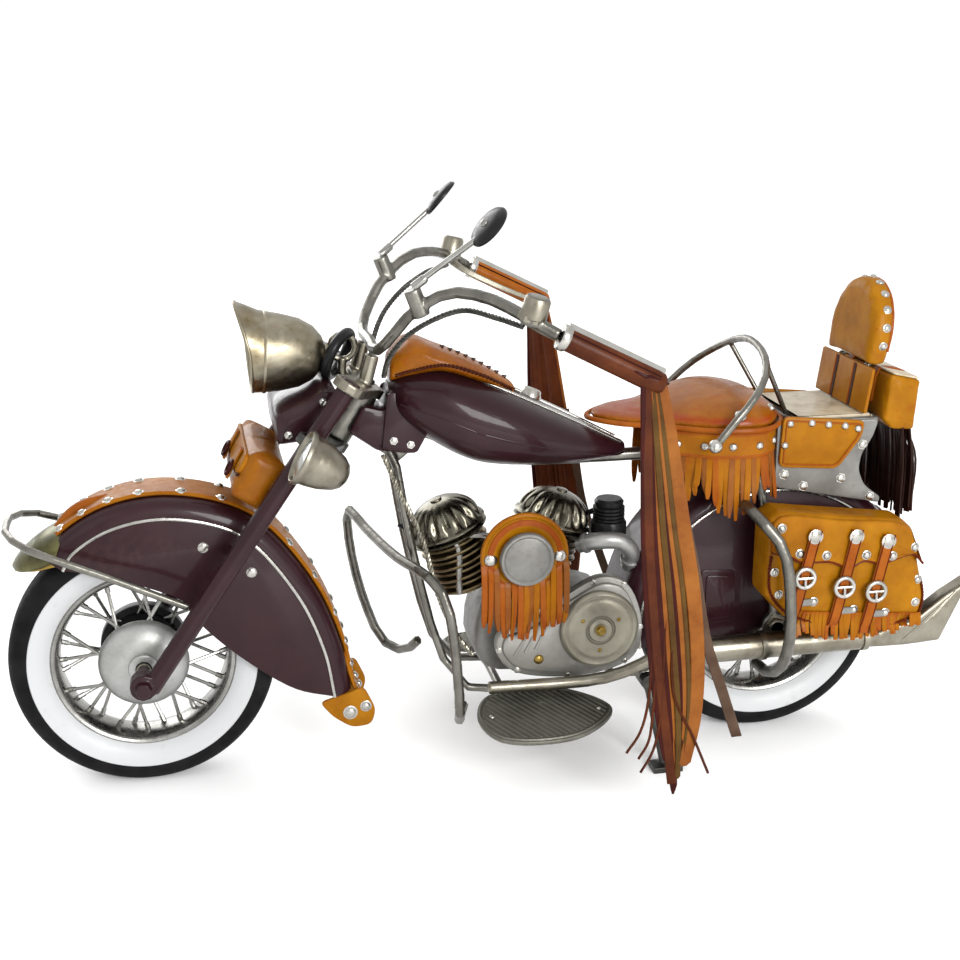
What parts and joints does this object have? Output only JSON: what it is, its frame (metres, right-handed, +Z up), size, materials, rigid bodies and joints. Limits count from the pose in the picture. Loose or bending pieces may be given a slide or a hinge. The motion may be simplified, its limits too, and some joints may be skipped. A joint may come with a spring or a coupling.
{
  "type": "tin display motorcycle",
  "caption": "Tinplate model of a vintage touring motorcycle with turning wheels, a steering fork, leather luggage and hanging fringes.",
  "frame": {"origin": "on the ground, midway between the front bumper and the tail of the exhaust, on the centre line", "axes": "the front points along -X, the rider's left along -Y, +Z up"},
  "size_m": [0.4114, 0.1882, 0.2428],
  "materials": {
    "paint": "glossy dark maroon enamel",
    "pewter": "antique nickel, darkened in the recesses",
    "chrome": "dull plated steel wire",
    "casting": "matte grey metal",
    "iron": "dark satin metal",
    "tan_leather": "glossy tan leather with reddish burnished edges",
    "brown_leather": "dull reddish brown leather",
    "tyre_rubber": "black with a white side wall",
    "cable": "black cable cover",
    "lens": "clear"
  },
  "bodies": {
    "frame": {"frame": "iron", "rear_axle": "pewter", "crankcase": "casting", "front_cylinder": "casting", "front_cylinder_head": "pewter", "rear_cylinder": "casting", "rear_cylinder_head": "pewter", "primary_cover": "casting", "clutch_cover": "pewter", "air_cleaner": "pewter", "air_cleaner_leather": "tan_leather", "oil_tank": "iron", "exhaust": "pewter", "engine_guard": "chrome", "footboard_left": "iron", "footboard_right": "iron", "rear_guard_left": "chrome", "rear_guard_right": "chrome", "fuel_tank": "paint", "tank_pad": "tan_leather", "rear_fender": "paint", "saddle": "tan_leather", "saddle_skirt": "tan_leather", "saddle_rail": "chrome", "rear_carrier": "casting", "side_panel_left": "tan_leather", "saddlebag_left": "tan_leather", "side_panel_right": "tan_leather", "saddlebag_right": "tan_leather", "sissy_bar": "chrome", "backrest": "tan_leather", "rear_bag": "tan_leather", "wiring": "pewter"},
    "steering": {"front_fender": "paint", "fender_leather": "tan_leather", "fork_leg_left": "paint", "fork_leg_right": "paint", "lower_fork_clamp": "iron", "upper_fork_clamp": "chrome", "front_axle": "pewter", "handlebar": "chrome", "grip_left": "tan_leather", "grip_fringe_left": "brown_leather", "mirror_left": "iron", "control_cable_left": "cable", "grip_right": "tan_leather", "grip_fringe_right": "brown_leather", "mirror_right": "iron", "control_cable_right": "cable", "headlight_shell": "pewter", "headlight_lens": "lens", "fog_lamp_left": "pewter", "fog_lamp_right": "pewter", "bumper": "chrome", "tool_bag": "tan_leather"},
    "front_wheel": {"front_tyre": "tyre_rubber", "front_wheel": "chrome"},
    "rear_wheel": {"rear_tyre": "tyre_rubber", "rear_wheel": "chrome"},
    "side_stand": {"side_stand": "iron"}
  },
  "joints": [
    {"name": "steering", "type": "hinge", "parent": "frame", "child": "steering", "pos_m": [-0.059, 0, 0.16], "axis": [0.5664, 0, 0.8241], "range_deg": [-15, 15]},
    {"name": "front_wheel_spin", "type": "hinge", "parent": "steering", "child": "front_wheel", "pos_m": [-0.151, 0, 0.05473], "axis": [0, 1, 0], "continuous": true},
    {"name": "rear_wheel_spin", "type": "hinge", "parent": "frame", "child": "rear_wheel", "pos_m": [0.121, 0, 0.05473], "axis": [0, 1, 0], "continuous": true},
    {"name": "side_stand_fold", "type": "hinge", "parent": "frame", "child": "side_stand", "pos_m": [0.063, -0.0245, 0.0335], "axis": [0, 1, 0], "range_deg": [-82, 0]}
  ]
}
